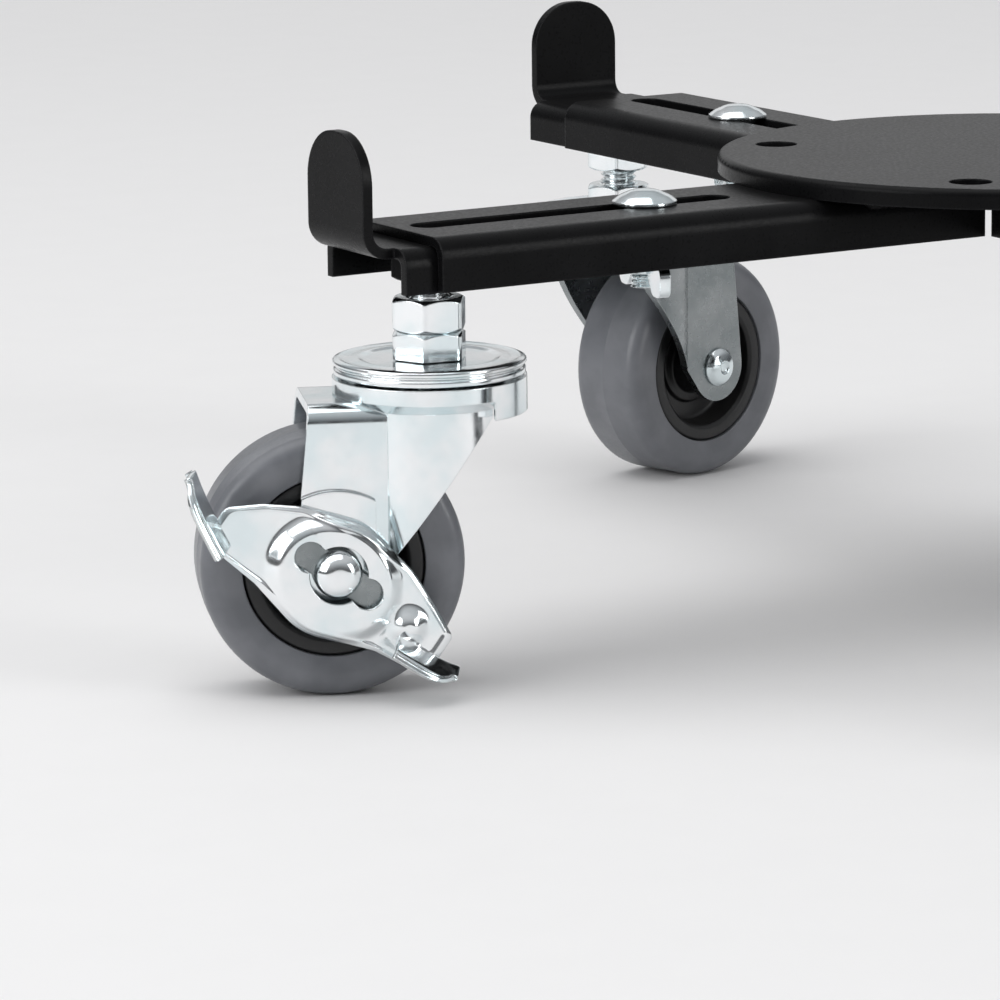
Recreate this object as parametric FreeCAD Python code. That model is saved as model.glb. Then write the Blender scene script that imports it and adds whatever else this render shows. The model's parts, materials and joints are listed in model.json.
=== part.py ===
import FreeCAD, Part
import math
import os
from FreeCAD import Placement, Rotation, Vector

# Plant pot caddy: a round plate on four telescopic arms, each standing on a swivel caster.
# Millimetres, +Z up. The origin lies on the floor under the middle of the plate.
# Arms a and d lie along X, arms b and c along Y. Half a turn about Z maps the caddy onto itself.

# ---- wheel ----
wheel_radius = 25.0
tyre_width = 18.9
tyre_shoulder = 2.2
core_radius = 17.2
core_inset = 0.6            # the core's rim lies this far inside the tyre's side
core_rim_wall = 3.3
recess_depth = 6.0
hub_radius = 6.2
axle_radius = 3.0
running_clearance = 0.06    # radial, for every shaft that turns in a hole
assembly_gap = 0.05         # between pieces that are clamped, threaded or riveted together
side_gap = 0.3              # between a turning face and the face beside it

# ---- fork and swivel ----
trail = 19.5
fork_side_room = 0.7        # from the tyre's side to the inside of a leg
fork_sheet = 1.75
fork_bend = 3.5             # outer radius between crown and leg
leg_end_radius = 7.7
crown_room = 4.2            # from the top of the wheel to the crown's underside
crown_rear = 24.0           # from the swivel axis back to the crown's rear edge
crown_front = 10.3
skirt_radius = 15.4         # of the rounded skirt that joins the legs round the front
skirt_end = 9.5             # from the swivel axis back to where the flat legs begin
boss_radius = 15.0          # of the round raised panel under a brake lever
boss_height = 1.6
race_radius = 18.3
race_lip_height = 1.3
race_lip_wall = 1.4
race_floor = 1.85           # thickness of the lower race above the crown plate
front_skirt_depth = 6.5
ball_radius = 1.65
ball_circle = 13.0
ball_count = 16
cap_sheet = 1.5
cap_radius = 18.2
cap_dish_radius = 12.6
cap_dish_depth = 0.4
kingpin_radius = 4.0
kingpin_head_radius = 6.2
kingpin_head_height = 2.0

# ---- stem and nuts ----
stem_radius = 4.0
hex_across_flats = 13.0
hex_base_height = 5.3
hex_turn = 53.0             # of a hexagon's corner, from +X
jam_nut_height = 6.4
weld_nut_height = 6.0
stem_rise = 15.85           # from the hexagon base's top to the underside of the arm's web

# ---- arms ----
channel_width = 33.9
channel_height = 10.0
channel_sheet = 1.8
channel_bend = 3.8
channel_inner_gap = 0.85    # from a channel's inner end to the line of its neighbours' sides
channel_length = 122.4
slot_width = 7.0
slot_start = 66.7
slot_end = 136.8
arm_width = 29.6
arm_height = 8.4
arm_sheet = 2.0
arm_bend = 3.4
arm_slide_gap = 0.05        # between the two webs
stem_to_bolt = 47.9
stem_to_arm_end = 71.5
stem_to_flange_end = 13.2
stem_to_tab = 19.6          # to the tab's outer face
tab_width = 20.8
tab_bend = 3.0              # inner radius
tab_rise = 21.0             # above the web's top
tab_corner = 9.5
reach_a = 133.5             # from the hub to the stem of arms a and d
reach_b = 145.1             # the same for arms b and c

# ---- clamp ----
bolt_radius = 2.95
bolt_length = 16.0          # below the head
bolt_neck = 6.0             # across the flats of the square neck
bolt_neck_length = 3.4
bolt_head_radius = 6.3
bolt_head_height = 3.0
neck_clearance = 0.15
washer_radius = 6.0
washer_thickness = 1.2
wing_hub_radius = 5.0
wing_hub_height = 8.0
wing_span = 23.4
wing_height = 11.5
wing_thickness = 2.2
wing_angle = 77.0           # of the wings, from +X

# ---- plate ----
plate_radius = 57.6
plate_thickness = 3.8
plate_edge_round = 1.3
plate_hole_radius = 4.2
plate_hole_circle = 46.8
weld_bead_start = 26.0
weld_bead_length = 20.0
weld_bead_size = 2.6

# ---- brake lever ----
lever_angle = 35.0          # its rear end lies this far above the level
lever_sheet = 1.5
lever_raise = 2.2           # of the raised middle
lever_rear = 24.5           # from the axle to the end of the lever's flat rim, behind
lever_front = 25.0
pad_depth = 8.5             # of the foot pads, outward from the rim
pad_slope = 20.0            # their outer edges lie lower
rear_pad_turn = 28.0        # the rear pad rises from the lever's line
rear_pad_length = 16.0
front_pad_length = 13.5
cam_thickness = 2.05
cam_lobe_reach = 8.0
cam_lobe_radius = 2.7
cam_body_radius = 4.6
window_radius = 5.4
window_lobe_radius = 2.9
window_lobe_reach = 6.3

# ---- heights that follow from the sizes above ----
crown_bottom = 2 * wheel_radius + crown_room
crown_top = crown_bottom + fork_sheet
race_top = crown_top + race_floor
ball_height = race_top + assembly_gap + ball_radius
cap_underside = ball_height + ball_radius + assembly_gap
cap_top = cap_underside + cap_sheet
hex_base_bottom = cap_top - cap_dish_depth
hex_base_top = hex_base_bottom + hex_base_height
arm_web_bottom = hex_base_top + stem_rise
arm_web_top = arm_web_bottom + arm_sheet
channel_top = arm_web_top + arm_slide_gap + channel_sheet
plate_top = channel_top + plate_thickness
weld_nut_bottom = arm_web_bottom - weld_nut_height
leg_outside = tyre_width / 2 + fork_side_room + fork_sheet
channel_start = channel_width / 2 + channel_inner_gap
lever_face = leg_outside + boss_height + side_gap
lever_top = lever_face + lever_raise + lever_sheet

# arm name: direction of the arm, reach, direction of the caster's trail, braked, jam nut on the weld nut
ARMS = {
    "a": (180.0, reach_a, 157.0, True, False),
    "b": (90.0, reach_b, 13.5, False, True),
    "c": (-90.0, reach_b, 193.5, False, True),
    "d": (0.0, reach_a, -23.0, True, False),
}


# ---- outlines ----
def on_plane(plane, across, up, offset):
    """The point of a drawing plane in space: 'xy', 'xz' or 'yz', at an offset along the third axis."""
    if plane == "xy":
        return Vector(across, up, offset)
    if plane == "xz":
        return Vector(across, offset, up)
    return Vector(offset, across, up)


def prism(corners, plane, start, depth):
    """Extrude a closed outline; a corner (across, up, radius) is rounded to its radius."""
    count = len(corners)
    bends = []
    for i, corner in enumerate(corners):
        here = Vector(corner[0], corner[1], 0)
        radius = corner[2] if len(corner) > 2 else 0.0
        before = Vector(*corners[i - 1][:2], 0) - here
        after = Vector(*corners[(i + 1) % count][:2], 0) - here
        if radius <= 0:
            bends.append((here, here, here))
            continue
        half = before.getAngle(after) / 2
        before.normalize()
        after.normalize()
        cut = radius / math.tan(half)
        middle = before + after
        middle.normalize()
        middle = here + middle * (radius / math.sin(half) - radius)
        bends.append((here + before * cut, middle, here + after * cut))
    edges = []
    for i, (first, middle, last) in enumerate(bends):
        points = [on_plane(plane, p.x, p.y, start) for p in (first, middle, last)]
        if (first - last).Length > 1e-6:
            edges.append(Part.Arc(*points).toShape())
        following = bends[(i + 1) % count][0]
        if (last - following).Length > 1e-6:
            edges.append(Part.LineSegment(points[2], on_plane(plane, following.x, following.y, start)).toShape())
    face = Part.Face(Part.Wire(edges))
    return face.extrude(on_plane(plane, 0, 0, depth))


def turned(profile):
    """Revolve a closed outline of (radius, height) corners about Z."""
    points = [Vector(radius, 0, height) for radius, height in profile]
    face = Part.Face(Part.makePolygon(points + points[:1]))
    return face.revolve(Vector(0, 0, 0), Vector(0, 0, 1), 360)


def cylinder(radius, bottom, top, x=0.0, y=0.0):
    return Part.makeCylinder(radius, top - bottom, Vector(x, y, bottom))


def cross_cylinder(radius, start, end, x=0.0, z=0.0):
    """A cylinder along Y."""
    return Part.makeCylinder(radius, end - start, Vector(x, start, z), Vector(0, 1, 0))


def round_edges(shape, radius, chosen):
    edges = [edge for edge in shape.Edges if chosen(edge)]
    return shape.makeFillet(radius, edges)


def dome(radius, height, seat):
    """A spherical cap that stands on the plane z = seat."""
    sphere_radius = (radius ** 2 + height ** 2) / (2 * height)
    ball = Part.makeSphere(sphere_radius, Vector(0, 0, seat + height - sphere_radius))
    return ball.common(cylinder(radius + 1, seat, seat + height + 1))


def hexagon(across_flats, bottom, top, chamfer_low, chamfer_high):
    """A hexagonal block about Z with turned corners at the chosen ends; one corner points along +X."""
    corner = across_flats / math.sqrt(3)
    points = [(corner * math.cos(math.radians(60 * i)), corner * math.sin(math.radians(60 * i))) for i in range(6)]
    block = prism(points, "xy", bottom, top - bottom)
    inner = across_flats / 2 * 0.96
    drop = (corner - inner) * math.tan(math.radians(30))
    low = inner if chamfer_low else corner
    high = inner if chamfer_high else corner
    profile = [(0, bottom), (low, bottom), (corner, bottom + (drop if chamfer_low else 0)),
               (corner, top - (drop if chamfer_high else 0)), (high, top), (0, top)]
    cleaned = [p for i, p in enumerate(profile) if p != profile[i - 1]]
    return block.common(turned(cleaned))


def inverted_channel(width, height, sheet, bend, top, start, length):
    """A folded sheet of inverted U section along X."""
    half = width / 2
    section = [(-half, top - height), (-half, top, bend), (half, top, bend), (half, top - height),
               (half - sheet, top - height), (half - sheet, top - sheet, bend - sheet),
               (sheet - half, top - sheet, bend - sheet), (sheet - half, top - height)]
    return prism(section, "yz", start, length)


# ---- plate and channels, in the caddy's frame ----
def plate():
    disc = cylinder(plate_radius, channel_top, plate_top)
    disc = round_edges(disc, plate_edge_round, lambda edge: edge.BoundBox.ZMin > plate_top - 0.01)
    for i in range(4):
        angle = math.radians(45 + 90 * i)
        x = plate_hole_circle * math.cos(angle)
        y = plate_hole_circle * math.sin(angle)
        disc = disc.cut(cylinder(plate_hole_radius, channel_top - 1, plate_top + 1, x, y))
    return disc


def channel():
    body = inverted_channel(channel_width, channel_height, channel_sheet, channel_bend,
                            channel_top, channel_start, channel_length)
    half_slot = slot_width / 2
    slot = prism([(slot_start, -half_slot, half_slot * 0.999), (slot_end, -half_slot, half_slot * 0.999),
                  (slot_end, half_slot, half_slot * 0.999), (slot_start, half_slot, half_slot * 0.999)],
                 "xy", channel_top - 2 * channel_sheet, 3 * channel_sheet)
    return body.cut(slot)


def weld_beads():
    """Fillet welds between the plate's underside and the channels' rounded shoulders."""
    half = channel_width / 2
    envelope = prism([(-half, channel_top - channel_height), (-half, channel_top, channel_bend),
                      (half, channel_top, channel_bend), (half, channel_top - channel_height)],
                     "yz", channel_start, channel_length)
    beads = []
    for side in (-1, 1):
        corners = [(side * (half - weld_bead_size), channel_top), (side * (half + weld_bead_size * 0.7), channel_top),
                   (side * half, channel_top - weld_bead_size)]
        bead = prism(corners, "yz", weld_bead_start, weld_bead_length).cut(envelope)
        beads += bead.Solids
    return beads


# ---- one arm, in a frame with the hub at the origin and +X outward; the stem stands at x = reach ----
def sliding_arm(reach):
    start = reach - stem_to_arm_end
    flange_end = reach + stem_to_flange_end
    outer = reach + stem_to_tab
    body = inverted_channel(arm_width, arm_height, arm_sheet, arm_bend, arm_web_top, start, flange_end - start)
    strip_start = flange_end - 3 * arm_bend
    tab_top = arm_web_top + tab_rise
    strip = prism([(strip_start, arm_web_bottom), (outer, arm_web_bottom, tab_bend + arm_sheet), (outer, tab_top),
                   (outer - arm_sheet, tab_top), (outer - arm_sheet, arm_web_top, tab_bend),
                   (strip_start, arm_web_top)], "xz", -tab_width / 2, tab_width)
    half = tab_width / 2
    shape = prism([(-half, arm_web_bottom - 1), (half, arm_web_bottom - 1), (half, tab_top, tab_corner),
                   (-half, tab_top, tab_corner)], "yz", strip_start, outer - strip_start)
    body = body.fuse(strip.common(shape)).removeSplitter()
    body = body.cut(cylinder(stem_radius + neck_clearance, arm_web_bottom - 1, arm_web_top + 1, reach))
    neck = bolt_neck / 2 + neck_clearance
    bolt = reach - stem_to_bolt
    square = prism([(bolt - neck, -neck), (bolt + neck, -neck), (bolt + neck, neck), (bolt - neck, neck)],
                   "xy", arm_web_bottom - 1, arm_sheet + 2)
    return body.cut(square)


def clamp_bolt(reach):
    """A carriage bolt: domed head, square neck, round shank."""
    seat = channel_top + assembly_gap
    neck = bolt_neck / 2
    bolt = dome(bolt_head_radius, bolt_head_height, seat)
    square = prism([(-neck, -neck), (neck, -neck), (neck, neck), (-neck, neck)],
                   "xy", seat - bolt_neck_length, bolt_neck_length + 0.2)
    bolt = bolt.fuse([square, cylinder(bolt_radius, seat - bolt_length, seat + 0.2)])
    bolt.translate(Vector(reach - stem_to_bolt, 0, 0))
    return bolt


def clamp_washer(reach):
    top = arm_web_bottom - assembly_gap
    hole = bolt_radius + neck_clearance
    ring = cylinder(washer_radius, top - washer_thickness, top).cut(cylinder(hole, top - 5, top + 5))
    ring.translate(Vector(reach - stem_to_bolt, 0, 0))
    return ring


def wing_nut():
    top = arm_web_bottom - washer_thickness - 2 * assembly_gap
    bottom = top - wing_hub_height
    waist = wing_hub_radius * 0.78
    hub = turned([(0, bottom), (waist, bottom), (wing_hub_radius, top - 2.0), (wing_hub_radius, top), (0, top)])
    half = wing_span / 2
    low = top - wing_height
    wings = prism([(0, bottom + 1.0), (waist, bottom + 1.0, 1.0), (half - 4.5, low, 2.0), (half, low, 1.8),
                   (half, low + 5.0, 2.2), (wing_hub_radius, top - 1.6, 1.0), (0, top - 1.6),
                   (-wing_hub_radius, top - 1.6, 1.0), (-half, low + 5.0, 2.2), (-half, low, 1.8),
                   (4.5 - half, low, 2.0), (-waist, bottom + 1.0, 1.0)], "xz", -wing_thickness / 2, wing_thickness)
    nut = hub.fuse(wings)
    nut = nut.cut(cylinder(bolt_radius + running_clearance, low - 1, top + 1))
    return nut


# ---- one caster, in a frame with the swivel axis as Z, +X along the trail and +Y on the brake's side ----
def caster_stem():
    """Threaded stem, hexagon base and the kingpin that is riveted under the fork's crown."""
    head_top = crown_bottom - side_gap
    profile = [(0, head_top - kingpin_head_height), (kingpin_head_radius - 1.0, head_top - kingpin_head_height),
               (kingpin_head_radius, head_top - kingpin_head_height + 1.0), (kingpin_head_radius, head_top),
               (kingpin_radius, head_top), (kingpin_radius, hex_base_bottom + 0.5), (0, hex_base_bottom + 0.5)]
    base = hexagon(hex_across_flats, hex_base_bottom + assembly_gap, hex_base_top, False, True)
    thread_top = arm_web_top - 0.5
    thread = turned([(0, hex_base_top - 0.5), (stem_radius, hex_base_top - 0.5), (stem_radius, thread_top - 0.7),
                     (stem_radius - 0.7, thread_top), (0, thread_top)])
    return turned(profile).fuse([base, thread])


def jam_nut(raised):
    """The lock nut, down on the stem's hexagon base or up against the arm's weld nut."""
    raised_bottom = weld_nut_bottom - assembly_gap - jam_nut_height
    bottom = raised_bottom if raised else hex_base_top + assembly_gap
    nut = hexagon(hex_across_flats, bottom, bottom + jam_nut_height, True, True)
    return nut.cut(cylinder(stem_radius + assembly_gap, bottom - 1, bottom + jam_nut_height + 1))


def weld_nut():
    """The nut that is welded under the arm's web, painted with the arm."""
    nut = hexagon(hex_across_flats, weld_nut_bottom, arm_web_bottom - assembly_gap, True, False)
    return nut.cut(cylinder(stem_radius + assembly_gap, weld_nut_bottom - 1, arm_web_top))


def race_cap():
    """The pressed upper race, clamped under the stem's hexagon base."""
    rim_bottom = race_top + race_lip_height + side_gap + 0.1
    inside = cap_radius - cap_sheet
    hole = kingpin_radius + assembly_gap
    cap = turned([(hole, cap_underside - cap_dish_depth), (ball_circle - ball_radius - 1.2, cap_underside - cap_dish_depth),
                  (ball_circle - ball_radius - 0.7, cap_underside), (inside, cap_underside), (inside, rim_bottom),
                  (cap_radius, rim_bottom), (cap_radius, cap_top), (cap_dish_radius + 1.0, cap_top),
                  (cap_dish_radius, cap_top - cap_dish_depth), (hole, cap_top - cap_dish_depth)])
    top_rim = [edge for edge in cap.Edges
               if edge.BoundBox.ZMin > cap_top - 0.01 and edge.BoundBox.XMax > cap_radius - 0.01]
    cap = cap.makeFillet(1.1, top_rim)
    low_rim = [edge for edge in cap.Edges
               if edge.BoundBox.ZMax < rim_bottom + 0.01 and edge.BoundBox.XMax > cap_radius - 0.01]
    return cap.makeFillet(0.6, low_rim)


def swivel_balls():
    balls = []
    for i in range(ball_count):
        angle = 2 * math.pi * i / ball_count
        balls.append(Part.makeSphere(ball_radius, Vector(ball_circle * math.cos(angle),
                                                         ball_circle * math.sin(angle), ball_height)))
    return balls


def tangent_corner(high, low):
    """Where the tangents from two points to the leg's round end meet below it; high is behind, low in front."""
    centre = Vector(trail, wheel_radius, 0)

    def tangent(point, side):
        toward = centre - point
        tilt = math.asin(leg_end_radius / toward.Length) * side
        angle = math.atan2(toward.y, toward.x) + tilt
        return Vector(math.cos(angle), math.sin(angle), 0)

    first = tangent(high, 1)
    second = tangent(low, -1)
    gap = low - high
    along = (gap.x * second.y - gap.y * second.x) / (first.x * second.y - first.y * second.x)
    return high + first * along


def fork(braked):
    """Crown, lower race, rounded front skirt and both legs, pressed from one sheet."""
    width = 2 * leg_outside
    rear = Vector(crown_rear, crown_top, 0)
    front = Vector(-crown_front, crown_bottom - 1.5, 0)
    foot = tangent_corner(rear, front)
    leg_bottom = wheel_radius - leg_end_radius - 1
    side = prism([(rear.x, rear.y), (foot.x, foot.y, leg_end_radius), (front.x, front.y),
                  (front.x, crown_top)], "xz", -width, 2 * width)
    legs = inverted_channel(width, crown_top - leg_bottom, fork_sheet, fork_bend, crown_top,
                            skirt_end - 0.6, crown_rear - skirt_end + 5)
    skirt = cylinder(skirt_radius, leg_bottom, crown_top)
    skirt = skirt.cut(cylinder(skirt_radius - fork_sheet, leg_bottom - 1, crown_top + 1))
    skirt = skirt.common(Part.makeBox(skirt_end + skirt_radius, 2 * skirt_radius, crown_top,
                                      Vector(-skirt_radius, -skirt_radius, 0)))
    body = legs.fuse(skirt).common(side)
    # The lower race: a dished disc with a lip, and a short apron round its front.
    lip_inside = race_radius - race_lip_wall
    race = turned([(0, crown_bottom), (race_radius - 2.8, crown_bottom), (race_radius, crown_bottom + 2.0),
                   (race_radius, race_top + race_lip_height), (lip_inside, race_top + race_lip_height),
                   (lip_inside, race_top), (0, race_top)])
    apron_bottom = race_top + race_lip_height - front_skirt_depth
    apron = cylinder(race_radius, apron_bottom, race_top)
    apron = apron.cut(cylinder(race_radius - fork_sheet, apron_bottom - 1, race_top))
    front_zone = Part.makeBox(race_radius, 2 * race_radius, 3 * race_radius,
                              Vector(-race_radius - crown_front, -race_radius, apron_bottom - 1))
    body = body.fuse([race, apron.common(front_zone)])
    if braked:
        boss = cross_cylinder(boss_radius, leg_outside - 0.2, leg_outside + boss_height, trail, wheel_radius)
        panel = Part.makeBox(2 * trail, width, crown_bottom, Vector(skirt_end + 2.5, 0, 0))
        body = body.fuse(boss.common(side).common(panel))
    body = body.removeSplitter()
    body = body.cut(cylinder(kingpin_radius + running_clearance, crown_bottom - 5, race_top + 5))
    return body.cut(cross_cylinder(axle_radius + assembly_gap, -width, width, trail, wheel_radius))


def axle(braked):
    """A rivet through both legs; on a braked caster its head also holds the lever."""
    head_seat = lever_face + cam_thickness + assembly_gap if braked else leg_outside
    head_radius = 4.8 if braked else 4.3
    head_height = 3.2 if braked else 2.2
    shank = cross_cylinder(axle_radius, -leg_outside - 0.5, head_seat + 0.5, trail, wheel_radius)
    near = dome(head_radius, head_height, head_seat + assembly_gap)
    near.rotate(Vector(0, 0, 0), Vector(1, 0, 0), -90)
    near.translate(Vector(trail, 0, wheel_radius))
    far = dome(4.3, 2.2, leg_outside + assembly_gap)
    far.rotate(Vector(0, 0, 0), Vector(1, 0, 0), 90)
    far.translate(Vector(trail, 0, wheel_radius))
    return shank.fuse([near, far])


def wheel_core():
    """Moulded centre with a deep recess each side, a rim and a hub; its axis is Y."""
    half = tyre_width / 2 - core_inset
    recess_radius = core_radius - core_rim_wall
    web = half - recess_depth
    hub_half = tyre_width / 2 + fork_side_room - side_gap
    bore = axle_radius + running_clearance
    core = turned([(bore, -hub_half), (hub_radius, -hub_half), (hub_radius + 0.8, -web), (recess_radius - 0.6, -web),
                   (recess_radius, -half), (core_radius, -half), (core_radius, half), (recess_radius, half),
                   (recess_radius - 0.6, web), (hub_radius + 0.8, web), (hub_radius, hub_half), (bore, hub_half)])
    core.rotate(Vector(0, 0, 0), Vector(1, 0, 0), 90)
    core.translate(Vector(trail, 0, wheel_radius))
    return core


def tyre():
    half = tyre_width / 2
    ring = turned([(core_radius, -half), (wheel_radius, -half), (wheel_radius, half), (core_radius, half)])
    outer = [edge for edge in ring.Edges if edge.BoundBox.XMax > wheel_radius - 0.01 and edge.BoundBox.ZLength < 0.01]
    ring = ring.makeFillet(tyre_shoulder, outer)
    ring.rotate(Vector(0, 0, 0), Vector(1, 0, 0), 90)
    ring.translate(Vector(trail, 0, wheel_radius))
    return ring


# ---- brake, in a frame with the axle as Y and +X along the lever's rear arm ----
def window(depth_from, depth):
    """The hole in the lever's raised middle: a circle with a lobe each side."""
    shape = cross_cylinder(window_radius, depth_from, depth_from + depth)
    for side in (-1, 1):
        shape = shape.fuse(cross_cylinder(window_lobe_radius, depth_from, depth_from + depth, side * window_lobe_reach))
    return shape


def pad(side, root_x, root_z, length, turn):
    """A foot pad: a shelf that stands out from the rim and slopes down, round at its tip."""
    end = lever_face + pad_depth
    shelf = prism([(0, lever_face), (length - 1.0, lever_face, 4.0), (length, end, 2.0), (0.5, end, 3.0)],
                  "xy", -lever_sheet, lever_sheet)
    shelf.rotate(Vector(0, lever_face, 0), Vector(1, 0, 0), -pad_slope)
    shelf.rotate(Vector(0, 0, 0), Vector(0, 1, 0), -turn)
    if side < 0:
        shelf = shelf.mirror(Vector(0, 0, 0), Vector(1, 0, 0))
    shelf.translate(Vector(root_x, 0, root_z))
    return shelf


def brake_lever():
    brim = prism([(lever_rear, -8.6, 1.5), (lever_rear, -1.0, 2.5), (19.0, 3.3, 4.0), (13.0, 6.6, 8.0), (0.0, 10.6, 12.0),
                  (-12.0, 7.8, 8.0), (-20.0, 4.2, 6.0), (-lever_front, 1.6, 1.5), (-lever_front, -3.6, 1.5),
                  (1.5 - lever_front, -4.6, 1.0), (-20.6, -8.0, 1.5), (-14.0, -8.6, 6.0), (0.0, -13.2, 12.0),
                  (12.0, -10.0, 6.0)], "xz", lever_face, lever_sheet)
    raised = prism([(14.5, -7.4, 4.0), (12.0, 4.2, 5.0), (0.0, 8.3, 9.0), (-12.0, 5.6, 5.0), (-13.0, -6.4, 4.0),
                    (0.0, -10.2, 9.0)], "xz", lever_face, lever_raise + lever_sheet)
    hollow = prism([(14.5 - lever_sheet, -7.4 + lever_sheet, 2.6), (12.0 - lever_sheet, 4.2 - lever_sheet, 3.6),
                    (0.0, 8.3 - lever_sheet, 7.6), (-12.0 + lever_sheet, 5.6 - lever_sheet, 3.6),
                    (-13.0 + lever_sheet, -6.4 + lever_sheet, 2.6), (0.0, -10.2 + lever_sheet, 7.6)],
                   "xz", lever_face - 1, lever_raise + 1)
    detent = cross_cylinder(2.8, lever_face, lever_face + lever_sheet + 2.0, -16.8, -1.2)
    rear_pad = pad(1, 19.5, -6.6, rear_pad_length, rear_pad_turn)
    front_pad = pad(-1, -16.0, -3.0, front_pad_length, 0.0)
    body = brim.fuse([raised, detent, rear_pad, front_pad])
    return body.cut(hollow).cut(window(lever_face - 1, lever_raise + lever_sheet + 3)).removeSplitter()


def brake_cam():
    """The lobed plate that turns with the lever and rides on the leg's ramps."""
    start = lever_face + assembly_gap
    end = lever_face + cam_thickness
    body = cross_cylinder(cam_body_radius, start, end)
    arm = prism([(-cam_lobe_reach, -cam_lobe_radius), (cam_lobe_reach, -cam_lobe_radius),
                 (cam_lobe_reach, cam_lobe_radius), (-cam_lobe_reach, cam_lobe_radius)], "xz", start, end - start)
    ends = [cross_cylinder(cam_lobe_radius, start, end, side * cam_lobe_reach) for side in (-1, 1)]
    body = body.fuse([arm] + ends).removeSplitter()
    return body.cut(cross_cylinder(axle_radius + running_clearance, start - 1, end + 1))


# ---- assembly ----
def placed(shapes, steps):
    """Copies of the shapes, moved by each placement in turn."""
    result = []
    for shape in shapes if isinstance(shapes, list) else [shapes]:
        for step in steps:
            shape = shape.copy()
            shape.Placement = step.multiply(shape.Placement)
        result.append(shape)
    return result


def about_z(degrees, x=0.0, y=0.0):
    return Placement(Vector(x, y, 0), Rotation(Vector(0, 0, 1), degrees))


nodes = {"top_plate": [plate()], "weld_beads": []}
for name, (direction, reach, trail_direction, braked, raised) in ARMS.items():
    heading = math.radians(direction)
    stem_x = reach * math.cos(heading)
    stem_y = reach * math.sin(heading)
    along = [about_z(direction)]
    bolted = [about_z(hex_turn, stem_x, stem_y)]
    stem = [about_z(trail_direction, stem_x, stem_y)]
    nodes["channel_" + name] = placed(channel(), along)
    nodes["weld_beads"] += placed(weld_beads(), along)
    nodes["sliding_arm_" + name] = placed(sliding_arm(reach), along) + placed(weld_nut(), bolted)
    nodes["clamp_bolt_" + name] = placed(clamp_bolt(reach), along)
    nodes["clamp_washer_" + name] = placed(clamp_washer(reach), along)
    bolt_x = (reach - stem_to_bolt) * math.cos(heading)
    bolt_y = (reach - stem_to_bolt) * math.sin(heading)
    nodes["wing_nut_" + name] = placed(wing_nut(), [about_z(wing_angle, bolt_x, bolt_y)])

    nodes["caster_stem_" + name] = placed(caster_stem(), bolted)
    nodes["jam_nut_" + name] = placed(jam_nut(raised), bolted)
    nodes["race_cap_" + name] = placed(race_cap(), stem)
    nodes["swivel_balls_" + name] = placed(swivel_balls(), stem)
    nodes["fork_" + name] = placed(fork(braked), stem)
    nodes["axle_" + name] = placed(axle(braked), stem)
    nodes["wheel_core_" + name] = placed(wheel_core(), stem)
    nodes["tyre_" + name] = placed(tyre(), stem)
    if braked:
        on_axle = [Placement(Vector(trail, 0, wheel_radius), Rotation(Vector(0, 1, 0), -lever_angle))] + stem
        nodes["brake_lever_" + name] = placed(brake_lever(), on_axle)
        nodes["brake_cam_" + name] = placed(brake_cam(), on_axle)

os.makedirs("parts", exist_ok=True)
for name, solids in nodes.items():
    for solid in solids:
        if not solid.isValid() or len(solid.Solids) != 1:
            raise ValueError("%s is not one valid solid" % name)
    shape = solids[0] if len(solids) == 1 else Part.makeCompound(solids)
    shape.exportStep("parts/%s.step" % name)
print(len(nodes), "nodes; plate top at", round(plate_top, 2), "channel top at", round(channel_top, 2))
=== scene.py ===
# %% [markdown]
# # A plant pot caddy, dressed for its portrait
# The caddy is a round plate on four telescopic arms, and each arm stands on a swivel caster.
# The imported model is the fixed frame: it says where every part is and how it moves.
# Here it gets its surfaces, and the parts whose plain shape isn't enough are built again in detail.
# Everything is in metres, with +Z up and the floor at zero.

# %% Load the frame
import bmesh
import bpy
import json
import math
from mathutils import Matrix, Vector


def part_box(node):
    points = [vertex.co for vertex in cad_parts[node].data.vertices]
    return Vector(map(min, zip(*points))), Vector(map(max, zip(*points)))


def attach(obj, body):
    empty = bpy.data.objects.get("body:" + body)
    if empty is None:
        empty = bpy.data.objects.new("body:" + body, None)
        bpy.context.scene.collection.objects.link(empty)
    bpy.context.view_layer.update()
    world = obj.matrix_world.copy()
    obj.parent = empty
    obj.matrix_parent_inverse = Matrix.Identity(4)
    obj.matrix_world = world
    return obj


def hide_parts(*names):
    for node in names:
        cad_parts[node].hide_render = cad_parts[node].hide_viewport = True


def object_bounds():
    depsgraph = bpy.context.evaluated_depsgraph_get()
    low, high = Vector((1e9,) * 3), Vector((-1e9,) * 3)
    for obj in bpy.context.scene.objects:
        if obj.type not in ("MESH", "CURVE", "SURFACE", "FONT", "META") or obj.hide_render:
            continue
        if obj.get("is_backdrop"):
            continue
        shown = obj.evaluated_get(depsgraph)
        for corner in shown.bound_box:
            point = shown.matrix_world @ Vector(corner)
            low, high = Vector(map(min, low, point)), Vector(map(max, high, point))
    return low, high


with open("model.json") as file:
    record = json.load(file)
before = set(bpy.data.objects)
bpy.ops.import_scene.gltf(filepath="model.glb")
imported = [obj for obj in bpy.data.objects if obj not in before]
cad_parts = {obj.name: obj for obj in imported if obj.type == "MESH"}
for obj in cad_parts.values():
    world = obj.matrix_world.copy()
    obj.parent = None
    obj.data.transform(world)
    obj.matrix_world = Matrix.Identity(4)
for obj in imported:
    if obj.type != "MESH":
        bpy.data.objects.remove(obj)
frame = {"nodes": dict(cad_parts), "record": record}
cad_box = [list(corner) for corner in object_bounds()]

# %% [markdown]
# ## Where the four casters stand
# Nothing is typed in that the frame already knows. The middle of a stem's cap is the swivel axis,
# the middle of a wheel centre's box is the axle, and the line between the two is the caster's trail.
# Each caster then gets a small workshop frame of its own, in millimetres: Z is the swivel axis, X the trail.
# Each arm and each clamp bolt gets one too, so that a piece is drawn once and placed four times.

# %% Workshop frames
MM = Matrix.Scale(0.001, 4)


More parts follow.
